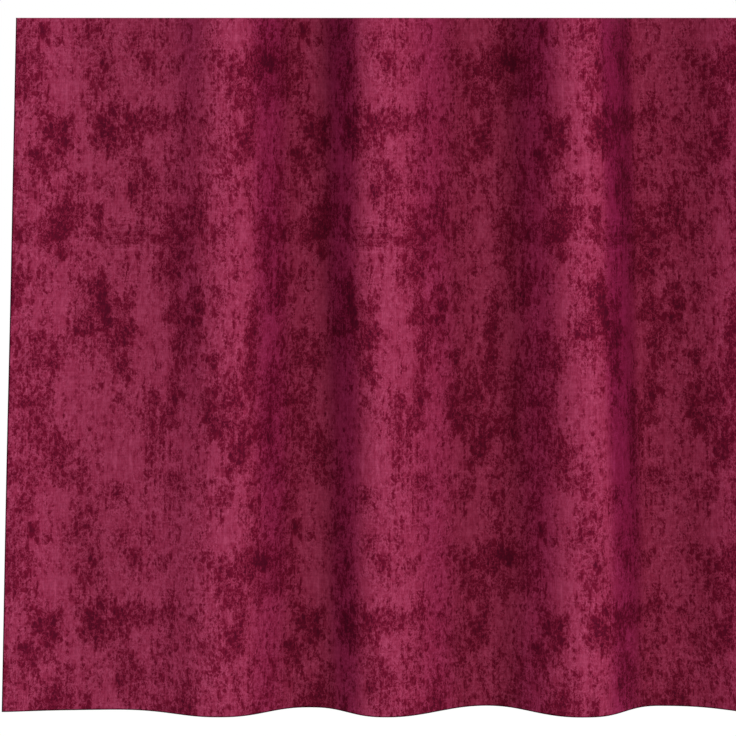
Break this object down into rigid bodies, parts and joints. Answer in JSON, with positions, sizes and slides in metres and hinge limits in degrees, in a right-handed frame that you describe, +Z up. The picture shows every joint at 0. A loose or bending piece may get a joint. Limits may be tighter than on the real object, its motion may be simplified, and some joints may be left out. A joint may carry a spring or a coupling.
{
  "type": "velvet drape",
  "caption": "Velvet drape: a printed pile cloth with turned hems, hanging in soft upright folds from its straight top edge.",
  "frame": {"origin": "middle of the top edge, by which the drape is held", "axes": "+X across the drape, to the right as its printed face is seen; -Y out of the printed face; +Z up"},
  "size_m": [1.2271, 0.0792, 0.9],
  "materials": {
    "velvet": "matte"
  },
  "bodies": {
    "root": {"velvet_panel": "velvet"}
  },
  "joints": []
}
